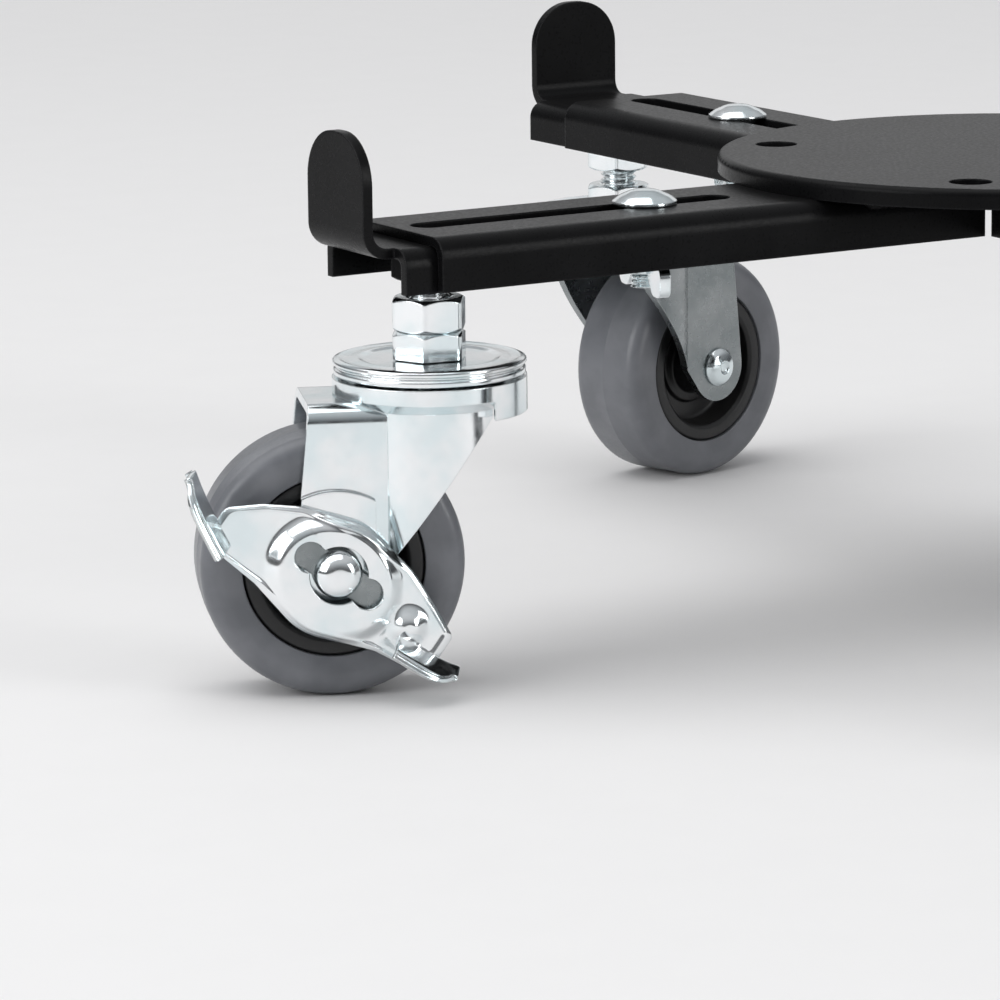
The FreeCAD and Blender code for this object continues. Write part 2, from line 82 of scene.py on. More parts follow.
def middle(node):
    low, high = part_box(node)
    return (low + high) / 2


def turned_about_z(angle, x, y):
    return Matrix.Translation((x, y, 0)) @ Matrix.Rotation(angle, 4, "Z") @ MM


ARMS = "abcd"
BRAKED = "ad"
caster_frame, arm_frame, bolt_frame = {}, {}, {}
for arm in ARMS:
    stem, wheel, bolt = (middle(part + arm) for part in ("race_cap_", "wheel_core_", "clamp_washer_"))
    trail = (wheel - stem).xy.length * 1000
    caster_frame[arm] = turned_about_z(math.atan2(wheel.y - stem.y, wheel.x - stem.x), stem.x, stem.y)
    arm_frame[arm] = turned_about_z(math.atan2(bolt.y, bolt.x), 0, 0)
    bolt_frame[arm] = turned_about_z(0, bolt.x, bolt.y)
wheel_radius = middle("wheel_core_a").z * 1000
print("trail", round(trail, 1), "mm, wheel radius", round(wheel_radius, 1), "mm")

# %% [markdown]
# ## Who rides with whom
# A part moves with its body: the wheel with the axle's joint, the fork with the swivel's. The record lists
# the nodes of each body. Turned round, the list says which body a new piece has to ride.

# %% Which body a node belongs to
bodies = frame["record"]["behaviour"]["bodies"]
body_of_node = {node: body for body, nodes in bodies.items() for node in nodes}
print("bodies:", ", ".join(sorted(set(body_of_node.values()))))

# %% [markdown]
# ## Helpers for the node editor
# A material is a small network. These helpers add a node, join sockets by name, start a node group and do
# one step of arithmetic, so that each material below reads as a list of what feeds what. Texture positions
# are the object's own, in metres, and every piece keeps its place in its mesh, so one grain size suits all.

# %% Node helpers
def add_node(tree, kind, **settings):
    """A node with its properties or inputs set by name, such as Scale=60."""
    node = tree.nodes.new(kind)
    for name, value in settings.items():
        if hasattr(node, name):
            setattr(node, name, value)
        else:
            node.inputs[name.replace("_", " ")].default_value = value
    return node


def join(tree, *pairs):
    for source, target in pairs:
        tree.links.new(source, target)


def new_group(name, inputs, outputs):
    """A node group with float inputs {name: default} and outputs {name: socket type}."""
    tree = bpy.data.node_groups.new(name, "ShaderNodeTree")
    for label, default in inputs.items():
        socket = tree.interface.new_socket(label, in_out="INPUT", socket_type="NodeSocketFloat")
        socket.default_value = default
    for label, kind in outputs.items():
        tree.interface.new_socket(label, in_out="OUTPUT", socket_type=kind)
    return tree, tree.nodes.new("NodeGroupInput"), tree.nodes.new("NodeGroupOutput")


def math_node(tree, operation, first, second):
    """One step of arithmetic on two numbers or sockets."""
    node = add_node(tree, "ShaderNodeMath", operation=operation)
    for socket, value in zip(node.inputs, (first, second)):
        if isinstance(value, (int, float)):
            socket.default_value = value
        else:
            tree.links.new(value, socket)
    return node.outputs[0]


print("node helpers ready")

# %% [markdown]
# ## Softened edges, with wear and a painted highlight
# No pressed or painted edge is knife sharp, and paint and plating wear through first along it.
# The Bevel node looks a fraction of a millimetre round each point and gives the normal that a rounded
# edge would have. Where that differs from the face's own normal there is an edge, which makes the mask.
# A noise breaks the mask into chips. The lighter colour laid on the mask is partly wear and partly a painted
# highlight along the edges. One group serves every finish, each with its own reach.

# %% Group: soft edge
EDGE_GAIN = 5.0
soft_edge, group_in, group_out = new_group(
    "soft edge", {"Reach": 0.0004, "Chips": 400.0},
    {"Mask": "NodeSocketFloat", "Normal": "NodeSocketVector"})
rounding = add_node(soft_edge, "ShaderNodeBevel", samples=4)
face = soft_edge.nodes.new("ShaderNodeNewGeometry")
compare = add_node(soft_edge, "ShaderNodeVectorMath", operation="DOT_PRODUCT")
place = soft_edge.nodes.new("ShaderNodeTexCoord")
chips = add_node(soft_edge, "ShaderNodeTexNoise", Detail=2.0)
join(soft_edge, (group_in.outputs["Reach"], rounding.inputs["Radius"]),
     (rounding.outputs["Normal"], compare.inputs[0]), (face.outputs["Normal"], compare.inputs[1]),
     (place.outputs["Object"], chips.inputs["Vector"]), (group_in.outputs["Chips"], chips.inputs["Scale"]))
edge = math_node(soft_edge, "SUBTRACT", 1.0, compare.outputs["Value"])
edge = math_node(soft_edge, "MULTIPLY", edge, EDGE_GAIN)
patchy = math_node(soft_edge, "MULTIPLY", edge, chips.outputs[0])
join(soft_edge, (math_node(soft_edge, "MINIMUM", patchy, 1.0), group_out.inputs["Mask"]),
     (rounding.outputs["Normal"], group_out.inputs["Normal"]))
print(soft_edge.name, "built")

# %% [markdown]
# ## Fine grain
# Sprayed powder dries with a faint orange peel, a cast tyre is slightly matt and rolled sheet has a fine
# tooth. All three are small bumps at different sizes, so one group mixes a coarse and a fine noise.
# Its height goes into a Bump node, and its shade varies the roughness a little.

# %% Group: fine grain
FINE_PER_COARSE = 3.7
fine_grain, group_in, group_out = new_group(
    "fine grain", {"Size": 0.0008, "Coarse share": 0.6},
    {"Height": "NodeSocketFloat", "Shade": "NodeSocketFloat"})
place = fine_grain.nodes.new("ShaderNodeTexCoord")
coarse = add_node(fine_grain, "ShaderNodeTexNoise", Detail=1.0)
fine = add_node(fine_grain, "ShaderNodeTexNoise", Detail=3.0)
coarse_scale = math_node(fine_grain, "DIVIDE", 1.0, group_in.outputs["Size"])
fine_scale = math_node(fine_grain, "MULTIPLY", coarse_scale, FINE_PER_COARSE)
join(fine_grain, (place.outputs["Object"], coarse.inputs["Vector"]), (coarse_scale, coarse.inputs["Scale"]),
     (place.outputs["Object"], fine.inputs["Vector"]), (fine_scale, fine.inputs["Scale"]))
blend = add_node(fine_grain, "ShaderNodeMix", data_type="FLOAT")
join(fine_grain, (group_in.outputs["Coarse share"], blend.inputs[0]), (fine.outputs[0], blend.inputs[2]),
     (coarse.outputs[0], blend.inputs[3]), (blend.outputs[0], group_out.inputs["Height"]),
     (coarse.outputs[0], group_out.inputs["Shade"]))
print(fine_grain.name, "built")

# %% [markdown]
# ## Settled dust
# A floor caddy gathers dust on whatever faces up. The mask is the upward part of the normal,
# broken by a soft cloud noise, so that it lies in drifts and never evenly.

# %% Group: settled dust
LEVEL_FACES_ONLY = 3.0
settled_dust, group_in, group_out = new_group(
    "settled dust", {"Amount": 0.3, "Drift size": 0.012}, {"Mask": "NodeSocketFloat"})
face = settled_dust.nodes.new("ShaderNodeNewGeometry")
split = settled_dust.nodes.new("ShaderNodeSeparateXYZ")
place = settled_dust.nodes.new("ShaderNodeTexCoord")
drift = add_node(settled_dust, "ShaderNodeTexNoise", Detail=5.0)
drift_scale = math_node(settled_dust, "DIVIDE", 1.0, group_in.outputs["Drift size"])
join(settled_dust, (face.outputs["Normal"], split.inputs[0]), (place.outputs["Object"], drift.inputs["Vector"]),
     (drift_scale, drift.inputs["Scale"]))
upward = math_node(settled_dust, "MAXIMUM", split.outputs["Z"], 0.0)
upward = math_node(settled_dust, "POWER", upward, LEVEL_FACES_ONLY)
drifted = math_node(settled_dust, "MULTIPLY", upward, drift.outputs[0])
dusty = math_node(settled_dust, "MULTIPLY", drifted, group_in.outputs["Amount"])
join(settled_dust, (dusty, group_out.inputs["Mask"]))
print(settled_dust.name, "built")

# %% [markdown]
# ## Mixing and stretching
# Two small steps come back in every material: mixing two colours by a mask, and stretching the middle of a
# noise's range over a new one, because a noise seldom reaches 0 or 1 on its own.

# %% Mix and ramp
def mix_colour(tree, factor, first, second):
    """A colour between two others, each given as (r, g, b) or as a socket."""
    node = add_node(tree, "ShaderNodeMix", data_type="RGBA")
    join(tree, (factor, node.inputs[0]))
    for socket, value in ((node.inputs[6], first), (node.inputs[7], second)):
        if isinstance(value, tuple):
            socket.default_value = (*value, 1.0)
        else:
            tree.links.new(value, socket)
    return node.outputs[2]


def ramp(tree, source, *limits):
    """A value stretched from the first two limits to the last two."""
    node = tree.nodes.new("ShaderNodeMapRange")
    for socket, value in zip(node.inputs[1:5], limits):
        socket.default_value = value
    join(tree, (source, node.inputs[0]))
    return node.outputs[0]


print("mix and ramp ready")

# %% [markdown]
# ## Putting a material together
# Every finish here has the same skeleton: a colour that drifts a little between two shades, edges that show a
# third, lighter one, partly wear and partly a painted highlight, dust on top, roughness that follows the grain,
# and a bump over the softened normal.
# The skeleton is one function, and the Principled shader stays in each material with its own constants.

# %% The shared skeleton
def surface(name, dark, light, worn_and_highlit_edge, dust, cloud, grain, bump, rough, reach, dust_amount, **constants):
    """A finish from its two shades, an edge colour that is wear and painted highlight, and dust. Sizes are in
    metres, rough is a range.
    """
    material = bpy.data.materials.new(name)
    material.use_nodes = True
    tree = material.node_tree
    shader = tree.nodes["Principled BSDF"]
    for label, value in constants.items():
        shader.inputs[label.replace("_", " ")].default_value = value
    place = tree.nodes.new("ShaderNodeTexCoord")
    clouds = add_node(tree, "ShaderNodeTexNoise", Scale=1 / cloud, Detail=4.0)
    edge_wear_and_highlight = add_node(tree, "ShaderNodeGroup", node_tree=soft_edge)
    edge_wear_and_highlight.inputs["Reach"].default_value = reach
    tooth = add_node(tree, "ShaderNodeGroup", node_tree=fine_grain)
    tooth.inputs["Size"].default_value = grain
    grime = add_node(tree, "ShaderNodeGroup", node_tree=settled_dust)
    grime.inputs["Amount"].default_value = dust_amount
    sheen = ramp(tree, tooth.outputs["Shade"], 0.3, 0.7, *rough)
    relief = add_node(tree, "ShaderNodeBump", Strength=1.0, Distance=bump)
    join(tree, (place.outputs["Object"], clouds.inputs["Vector"]),
         (tooth.outputs["Height"], relief.inputs["Height"]), (edge_wear_and_highlight.outputs["Normal"], relief.inputs["Normal"]),
         (relief.outputs["Normal"], shader.inputs["Normal"]),
         (math_node(tree, "ADD", sheen, grime.outputs["Mask"]), shader.inputs["Roughness"]))
    colour = mix_colour(tree, ramp(tree, clouds.outputs[0], 0.38, 0.62, 0.0, 1.0), dark, light)
    # The edges take a lighter colour: partly wear, partly a painted edge highlight.
    colour = mix_colour(tree, edge_wear_and_highlight.outputs["Mask"], colour, worn_and_highlit_edge)
    join(tree, (mix_colour(tree, grime.outputs["Mask"], colour, dust), shader.inputs["Base Color"]))
    return material


print("skeleton ready")

# %% [markdown]
# ## The finishes
# The plate and arms wear a satin black powder coat. The casters, bolts and wing nuts are bright zinc
# with the cool blue cast of a clear passivate. Tyres are grey polyurethane round black nylon centres.
# The forks without a brake get a darker, rougher zinc, and so do the brake cams, where the dark zinc is painted
# shade inside the levers' windows. Each finish has its own grain: orange peel on the paint, cloudy crystals on
# the zinc, a moulded tooth on the rest.

# %% Materials
# Each finish's edge colour is lighter than its shades: partly wear, partly a painted edge highlight.
black_powder_coat = surface(
    "black powder coat", dark=(0.0035, 0.0035, 0.0038), light=(0.006, 0.006, 0.0064),
    worn_and_highlit_edge=(0.035, 0.035, 0.037), dust=(0.22, 0.21, 0.20), cloud=0.02, grain=0.0007, bump=0.000012,
    rough=(0.26, 0.35), reach=0.0006, dust_amount=0.03, Specular_IOR_Level=0.08)
bright_zinc = surface(
    "bright zinc", dark=(0.79, 0.87, 0.89), light=(0.92, 0.94, 0.95), worn_and_highlit_edge=(0.94, 0.97, 0.98),
    dust=(0.45, 0.44, 0.42), cloud=0.009, grain=0.0022, bump=0.0000025, rough=(0.10, 0.19),
    reach=0.0003, dust_amount=0.05, Metallic=1.0)
# A darker, rougher zinc. On the brake cams it is painted shade inside the levers' windows.
dark_zinc_and_window_shade = surface(
    "dark zinc and window shade", dark=(0.26, 0.285, 0.29), light=(0.34, 0.36, 0.365), worn_and_highlit_edge=(0.60, 0.63, 0.64),
    dust=(0.36, 0.35, 0.34), cloud=0.012, grain=0.0018, bump=0.000003, rough=(0.24, 0.34),
    reach=0.0003, dust_amount=0.06, Metallic=1.0)
ball_steel = surface(
    "ball steel", dark=(0.60, 0.61, 0.63), light=(0.70, 0.71, 0.73), worn_and_highlit_edge=(0.8, 0.8, 0.8),
    dust=(0.3, 0.3, 0.28), cloud=0.002, grain=0.0004, bump=0.000004, rough=(0.07, 0.12),
    reach=0.0001, dust_amount=0.05, Metallic=1.0)
grey_tyre = surface(
    "grey tyre", dark=(0.145, 0.151, 0.166), light=(0.178, 0.184, 0.200), worn_and_highlit_edge=(0.23, 0.23, 0.245),
    dust=(0.36, 0.35, 0.33), cloud=0.008, grain=0.0007, bump=0.000008, rough=(0.30, 0.38),
    reach=0.0003, dust_amount=0.05)
black_plastic = surface(
    "black plastic", dark=(0.005, 0.005, 0.0055), light=(0.009, 0.009, 0.0095), worn_and_highlit_edge=(0.03, 0.03, 0.03),
    dust=(0.20, 0.19, 0.18), cloud=0.01, grain=0.0006, bump=0.00003, rough=(0.30, 0.42),
    reach=0.0003, dust_amount=0.15)
finish_of_slot = {"black_powder_coat": black_powder_coat, "bright_zinc": bright_zinc,
                  "grey_tyre": grey_tyre, "black_plastic": black_plastic, "ball_steel": ball_steel}
print("finishes:", ", ".join(finish.name for finish in (*finish_of_slot.values(), dark_zinc_and_window_shade)))

# %% [markdown]
# ## Giving the CAD parts their finish
# A part whose shape is already right only needs its surface. Parts of one kind share a slot, whatever arm
# they are on, so a short table from kind to slot does for all of them. The darker zinc goes on last: on the
# forks without a brake, and on the brake cams as painted shade inside the levers' windows.

# %% Paint the carried-over nodes
slot_of_node = dict.fromkeys(("top_plate", "weld_beads", "channel", "sliding_arm"), "black_powder_coat")
slot_of_node.update(dict.fromkeys(
    ("clamp_bolt", "clamp_washer", "wing_nut", "caster_stem", "jam_nut", "race_cap", "fork", "axle",
     "brake_lever", "brake_cam"), "bright_zinc"))
slot_of_node.update(tyre="grey_tyre", wheel_core="black_plastic", swivel_balls="ball_steel")


def kind_of(name):
    """A node's name without its arm's letter."""
    return name if name in slot_of_node else name.rsplit("_", 1)[0]


for name, node in frame["nodes"].items():
    node.data.materials.clear()
    node.data.materials.append(finish_of_slot[slot_of_node[kind_of(name)]])
# Darker zinc on the forks without a brake; on the cams it is painted shade in the lever windows.
for name in ("fork_b", "fork_c", "brake_cam_a", "brake_cam_d"):
    frame["nodes"][name].data.materials[0] = dark_zinc_and_window_shade
print("painted", len(frame["nodes"]), "nodes")

# %% [markdown]
# ## Rounded outlines
# Most pieces start as an outline of corners, some of them rounded. Blender can round a mesh's corners with
# a Bevel, but that works on a finished mesh. Rounding the outline first gives even arcs that the lathe and
# the other tools below can use as they are.

# %% Outline tools
NEARLY_STRAIGHT = 1.55


def soften(corners, steps=4):
    """A closed outline of (x, y) or (x, y, radius) corners, with arcs where a radius is given."""
    points = []
    for i, corner in enumerate(corners):
        here = Vector(corner[:2])
        radius = corner[2] if len(corner) > 2 else 0
        before = (Vector(corners[i - 1][:2]) - here).normalized()
        after = (Vector(corners[(i + 1) % len(corners)][:2]) - here).normalized()
        half = before.angle(after) / 2
        if radius <= 0 or half > NEARLY_STRAIGHT:
            points.append(here)
            continue
        start = here + before * (radius / math.tan(half))
        centre = here + (before + after).normalized() * (radius / math.sin(half))
        arm_out = start - centre
        sweep = math.pi - 2 * half
        turn = 1 if before.cross(after) < 0 else -1
        for k in range(steps + 1):
            points.append(centre + Matrix.Rotation(turn * sweep * k / steps, 2) @ arm_out)
    return points


def mirrored(half):
    """The same corners on the other side of zero height, in reverse order."""
    return [(corner[0], -corner[1], *corner[2:]) for corner in reversed(half)]


print("outline tools ready")

# %% [markdown]
# ## Putting a piece in the caddy
# `add_piece` takes a finished bmesh from its workshop frame to its place, gives it its finish, makes it ride
# the right body and hides the CAD node that it stands for. The mesh is shaded smooth, with only its real
# edges kept sharp, and a small Bevel modifier breaks those edges where the piece asks for one.

# %% Placing a piece
def add_piece(name, mesh, place, finish, node, bevel=0.0, replaced=True, sharp=32):
    """Puts a copy of a bmesh in the caddy with the given finish, riding like the CAD node it belongs to."""
    data = bpy.data.meshes.new(name)
    mesh.to_mesh(data)
    data.transform(place)
    if place.determinant() < 0:
        data.flip_normals()
    data.shade_smooth()
    data.set_sharp_from_angle(angle=math.radians(sharp))
    data.materials.append(finish)
    piece = bpy.data.objects.new(name, data)
    bpy.context.scene.collection.objects.link(piece)
    if bevel:
        edge_round = piece.modifiers.new("rounded edges", "BEVEL")
        edge_round.width, edge_round.segments, edge_round.limit_method = bevel * 0.001, 2, "ANGLE"
        edge_round.angle_limit, edge_round.harden_normals = math.radians(28), True
    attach(piece, body_of_node[node])
    if replaced:
        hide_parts(node)
    return piece


print("ready to place pieces")

# %% [markdown]
# ## Skin over a grid
# A turned tyre, a thread, a weld bead and a pressed lever are all grids of points with a skin of quads.
# The only difference is whether the rows close on themselves and whether the last row meets the first.

# %% Skin
def skin(mesh, rows, around=True, along=False):
    """Quads between rows of vertices: `around` closes each row, `along` joins the last row to the first."""
    for j in range(len(rows) if along else len(rows) - 1):
        row, following = rows[j], rows[(j + 1) % len(rows)]
        for i in range(len(row) if around else len(row) - 1):
            n = (i + 1) % len(row)
            mesh.faces.new((row[i], row[n], following[n], following[i]))


def face_towards(mesh, axis):
    """Turns all the faces of an open sheet to the same side, mostly towards +axis."""
    bmesh.ops.recalc_face_normals(mesh, faces=mesh.faces)
    if sum(face.normal[axis] * face.calc_area() for face in mesh.faces) < 0:
        bmesh.ops.reverse_faces(mesh, faces=mesh.faces)


print("skin ready")

# %% [markdown]
# ## The lathe
# Tyres, wheel centres, caps, rivets and bolt heads are all turned shapes: one outline swept round an axis.
# Blender's Screw modifier or Spin tool does the same, but a mesh made ring by ring lets the outline touch
# the axis and keeps one clean seam. Outlines are corners of (radius, height along the axis, rounding).

# %% Lathe
def turned(outline, steps=72, arc=5, flat=False):
    """Sweeps a closed outline about Z, or about Y if flat."""
    points = soften(outline, arc)
    mesh = bmesh.new()
    rings = []
    for k in range(steps):
        angle = 2 * math.pi * k / steps
        ring = []
        for point in points:
            x, y, z = point.x * math.cos(angle), point.x * math.sin(angle), point.y
            ring.append(mesh.verts.new((x, z, y) if flat else (x, y, z)))
        rings.append(ring)
    skin(mesh, rings, along=True)
    bmesh.ops.remove_doubles(mesh, verts=mesh.verts, dist=1e-4)
    bmesh.ops.dissolve_degenerate(mesh, edges=mesh.edges, dist=1e-5)
    bmesh.ops.recalc_face_normals(mesh, faces=mesh.faces)
    return mesh


print("lathe ready")

# %% [markdown]
# ## Tyres
# Each tyre is cast polyurethane. The tread is barely crowned and keeps the fine ridge where the two
# halves of the mould met, and each side falls in a little from the shoulder towards the centre.
# All of it is in the outline, so the lathe does the whole job.

# %% Tyre
tyre_radius = (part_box("tyre_a")[1].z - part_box("tyre_a")[0].z) * 500
tyre_inside, tyre_side, side_break = 17.2, 9.45, 20.6
tread_edge, ridge_foot = wheel_radius - 0.12, wheel_radius - 0.05
tyre_half = [(tyre_inside, 0.35 - tyre_side, 0.2), (side_break, -tyre_side, 6.0),  # the side
             (tread_edge, -tyre_side, 2.9),                                        # the shoulder
             (ridge_foot, -0.3), (wheel_radius, -0.1)]                             # the mould's ridge
tyre_mesh = turned(tyre_half + mirrored(tyre_half), steps=96, flat=True)
at_axle = Matrix.Translation((trail, 0, wheel_radius))
for arm in ARMS:
    add_piece("tyre_tread_" + arm, tyre_mesh, caster_frame[arm] @ at_axle, grey_tyre, "tyre_" + arm)
print("tyre radius", round(tyre_radius, 2), "mm, faces", len(tyre_mesh.faces))

# %% [markdown]
# ## Wheel centres
# The nylon centre has a rim that stands just inside the tyre, a deep recess and a hub that runs close to
# the fork's legs. The recess walls lean out a little, because a moulded part has to leave its mould.
# A low step round the hub is the seat of the moulding's gate.

# %% Wheel centre
core_side, web_side, hub_side = 8.85, 2.85, 9.85
core_half = [(3.1, hub_side, 0.2), (6.2, hub_side, 0.6),                           # the hub's end
             (6.6, web_side + 1.2, 0.5), (8.6, web_side + 0.9, 0.4),               # the low step
             (9.0, web_side, 0.4), (13.0, web_side, 0.9),                          # the recess's floor
             (13.7, core_side - 0.7, 0.5), (14.4, core_side, 0.4),                 # its leaning wall
             (16.6, core_side, 0.5), (17.15, core_side - 0.5, 0.2)]                # the rim
core_mesh = turned(core_half + mirrored(core_half), steps=72, arc=3, flat=True)
for arm in ARMS:
    add_piece("wheel_centre_" + arm, core_mesh, caster_frame[arm] @ at_axle, black_plastic,
              "wheel_core_" + arm)
print("centre faces", len(core_mesh.faces))

# %% [markdown]
# ## Axle rivets
# The axle is a rivet. Its factory head is a smooth dome with a thin brim, and its other end was spun over
# by a riveting tool, which leaves a small dimple. On a braked caster the head stands proud of the lever.

# %% Axle rivets
shank, leg_outside, spun_edge = 3.0, 11.95, 4.3


def axle_rivet(braked):
    head_top, head, height = (19.1, 4.5, 3.2) if braked else (14.15, 4.3, 2.2)
    seat = head_top - height
    outline = [
        (0, head_top), (head * 0.55, head_top - 0.12, 3.2),                                # the dome
        (head * 0.92, head_top - height * 0.5, 1.6), (head, seat + 0.5, 0.3), (head, seat, 0.2),  # its brim
        (shank, seat, 0.1), (shank, -leg_outside, 0.1),                                    # the shank
        (spun_edge, -leg_outside, 0.2), (spun_edge, -12.5, 0.3), (3.4, -13.5, 2.0),        # the spun end
        (1.5, -14.1, 0.4), (1.0, -13.7, 0.3), (0, -13.6)]                                  # its dimple
    return turned(outline, steps=48, arc=4, flat=True)


for arm in ARMS:
    add_piece("axle_rivet_" + arm, axle_rivet(arm in BRAKED), caster_frame[arm] @ at_axle, bright_zinc,
              "axle_" + arm)
print("axle rivets placed")

# %% [markdown]
# ## Caps over the swivel bearing
# The cap is pressed from sheet: a shallow dish in the middle, a rolled bead round the top edge, a groove,
# and a second bead at the bottom that hides the balls. The two beads catch two bright lines of light.

# %% Bearing caps
cap_low, cap_high = (corner.z * 1000 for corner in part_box("race_cap_a"))
stem_hole, cap_sheet_under = 4.1, cap_high - 1.6
cap_outline = [
    (stem_hole, cap_high - 0.45), (12.3, cap_high - 0.45, 1.0), (13.4, cap_high - 0.05, 1.2),    # the dish
    (15.4, cap_high - 0.2, 1.5), (16.5, cap_high - 0.15, 0.6),                                   # the top
    (17.1, cap_high, 0.4), (18.2, cap_high - 0.3, 0.5), (18.2, cap_high - 1.1, 0.4),             # upper bead
    (17.55, cap_high - 1.45, 0.3), (17.6, cap_high - 1.75, 0.25),                                # the groove
    (18.05, cap_high - 2.1, 0.4), (18.05, cap_low + 0.1, 0.4), (17.2, cap_low, 0.3),             # lower bead
    (16.6, cap_low + 0.2, 0.2), (16.6, cap_sheet_under, 1.0), (13.0, cap_sheet_under),           # the inside
    (stem_hole, cap_high - 1.9)]
cap_mesh = turned(cap_outline, steps=96, arc=4)
for arm in ARMS:
    add_piece("bearing_cap_" + arm, cap_mesh, caster_frame[arm], bright_zinc, "race_cap_" + arm)
print("cap from", round(cap_low, 1), "to", round(cap_high, 1), "mm")

# %% [markdown]
# ## Hexagons
# A nut is a hexagonal bar whose ends were turned to a cone, so the chamfer cuts each face in a curve.
# Cutting a real cone would leave thin triangles. Here the outline's radius is worked out at each angle,
# and the end drops in proportion to how far that point lies outside the cone's circle. The six corners are
# cut a little short, and an end that isn't chamfered only has its edge broken.

# %% Hexagon tool
CONE_SLOPE = math.tan(math.radians(32))
BROKEN_EDGE, BORE_CHAMFER = 0.12, 0.6


def nut(flats, bottom, top, bore, low_chamfer=True, high_chamfer=True, steps=120):
    apothem = flats / 2
    cone = apothem * 0.955
    mesh = bmesh.new()
    columns = []
    for k in range(steps):
        angle = 2 * math.pi * k / steps
        from_corner = (angle + math.pi / 6) % (math.pi / 3) - math.pi / 6
        side = min(apothem / math.cos(math.pi / 6 - abs(from_corner)), apothem * 1.125)
        drop = (side - cone) * CONE_SLOPE
        column = []
        for end, inward, chamfered in ((top, -1, high_chamfer), (bottom, 1, low_chamfer)):
            levels = [(bore, end + inward * BORE_CHAMFER), (bore + 0.55, end), (cone, end),
                      (side, end + inward * (drop if chamfered else BROKEN_EDGE))]
            row = [mesh.verts.new((r * math.cos(angle), r * math.sin(angle), z)) for r, z in levels]
            column += row if end == top else row[::-1]
        columns.append(column)
    skin(mesh, columns, along=True)
    bmesh.ops.recalc_face_normals(mesh, faces=mesh.faces)
    return mesh


print("hexagon tool ready")

# %% [markdown]
# ## Lock nuts
# A thin nut on each stem is tightened against the arm's welded nut, so the caster can't unscrew itself.
# All the hexagons stand at the same angle, measured from the caddy's own X.

# %% Lock nuts
HEX_TURN = math.radians(53)
HEX_FLATS, NUT_BORE = 13.0, 4.1
nut_frame = {arm: turned_about_z(HEX_TURN, *middle("race_cap_" + arm).xy) for arm in ARMS}
for arm in ARMS:
    low, high = (corner.z * 1000 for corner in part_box("jam_nut_" + arm))
    add_piece("lock_nut_" + arm, nut(HEX_FLATS, low, high, NUT_BORE), nut_frame[arm], bright_zinc,
              "jam_nut_" + arm, bevel=0.25)
print("lock nut height", round(high - low, 2), "mm")

# %% [markdown]
# ## Threads
# A thread is a ridge that climbs one pitch in each turn. Every point of a fine grid round the rod gets its
# radius from how far it lies from the ridge's line. That is truer than a stack of rings, and it is light
# enough to use on the stems and the clamp bolts alike. The rod narrows at both ends, as a cut thread does.

# %% Threaded rod
FLANK_SLOPE, END_TAPER = 2.6, 0.6


def threaded_rod(radius, pitch, bottom, top, steps=32, rows_a_pitch=6):
    mesh = bmesh.new()
    rows = int((top - bottom) / pitch * rows_a_pitch)
    depth = 0.58 * pitch * 0.9
    grid = []
    for j in range(rows + 1):
        height = bottom + (top - bottom) * j / rows
        full = min(1.0, top - height, (height - bottom) / 0.3 + 0.5)
        ring = []
        for k in range(steps):
            angle = 2 * math.pi * k / steps
            turn = (height / pitch - k / steps) % 1.0
            r = radius - depth * min(1.0, abs(turn - 0.5) * FLANK_SLOPE) - (1 - full) * END_TAPER
            ring.append(mesh.verts.new((r * math.cos(angle), r * math.sin(angle), height)))
        grid.append(ring)
    skin(mesh, grid)
    mesh.faces.new(grid[0][::-1])
    mesh.faces.new(grid[-1])
    return mesh


print("thread tool ready")

# %% [markdown]
# ## Caster stems
# The stem is one turned part: a hexagon base that sits on the cap, the threaded stud above it and the
# kingpin below, whose end is riveted over under the fork. They are three bench shapes put together.

# %% Stems
def joined(*meshes):
    """One bmesh from several."""
    whole = bmesh.new()
    for part in meshes:
        data = bpy.data.meshes.new("part")
        part.to_mesh(data)
        whole.from_mesh(data)
        bpy.data.meshes.remove(data)
    return whole


stem_low, stem_high = (corner.z * 1000 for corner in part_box("caster_stem_a"))
base_low, base_high = 62.35, 67.6
stud_radius, stud_pitch, pin_radius, pin_head = 4.0, 1.25, 4.0, 6.2
kingpin = turned([(0, stem_low), (4.6, stem_low + 0.1, 0.6), (pin_head, stem_low + 1.0, 0.6),
                  (pin_head, stem_low + 2.0, 0.1), (pin_radius, stem_low + 2.0),
                  (pin_radius, base_low + 0.3), (0, base_low + 0.3)], steps=48, arc=3)
stem_mesh = joined(nut(HEX_FLATS, base_low, base_high, 3.9, low_chamfer=False), kingpin,
                   threaded_rod(stud_radius, stud_pitch, base_high - 0.6, stem_high))
for arm in ARMS:
    add_piece("stem_" + arm, stem_mesh, nut_frame[arm], bright_zinc, "caster_stem_" + arm, bevel=0.2)
print("stem top at", round(stem_high, 2), "mm")

# %% [markdown]
# ## Clamp bolts
# A carriage bolt has a wide low mushroom head with no slot, because the square neck under it keeps it from
# turning. The dome's outline is nearly a circle's arc and ends in a thin brim.

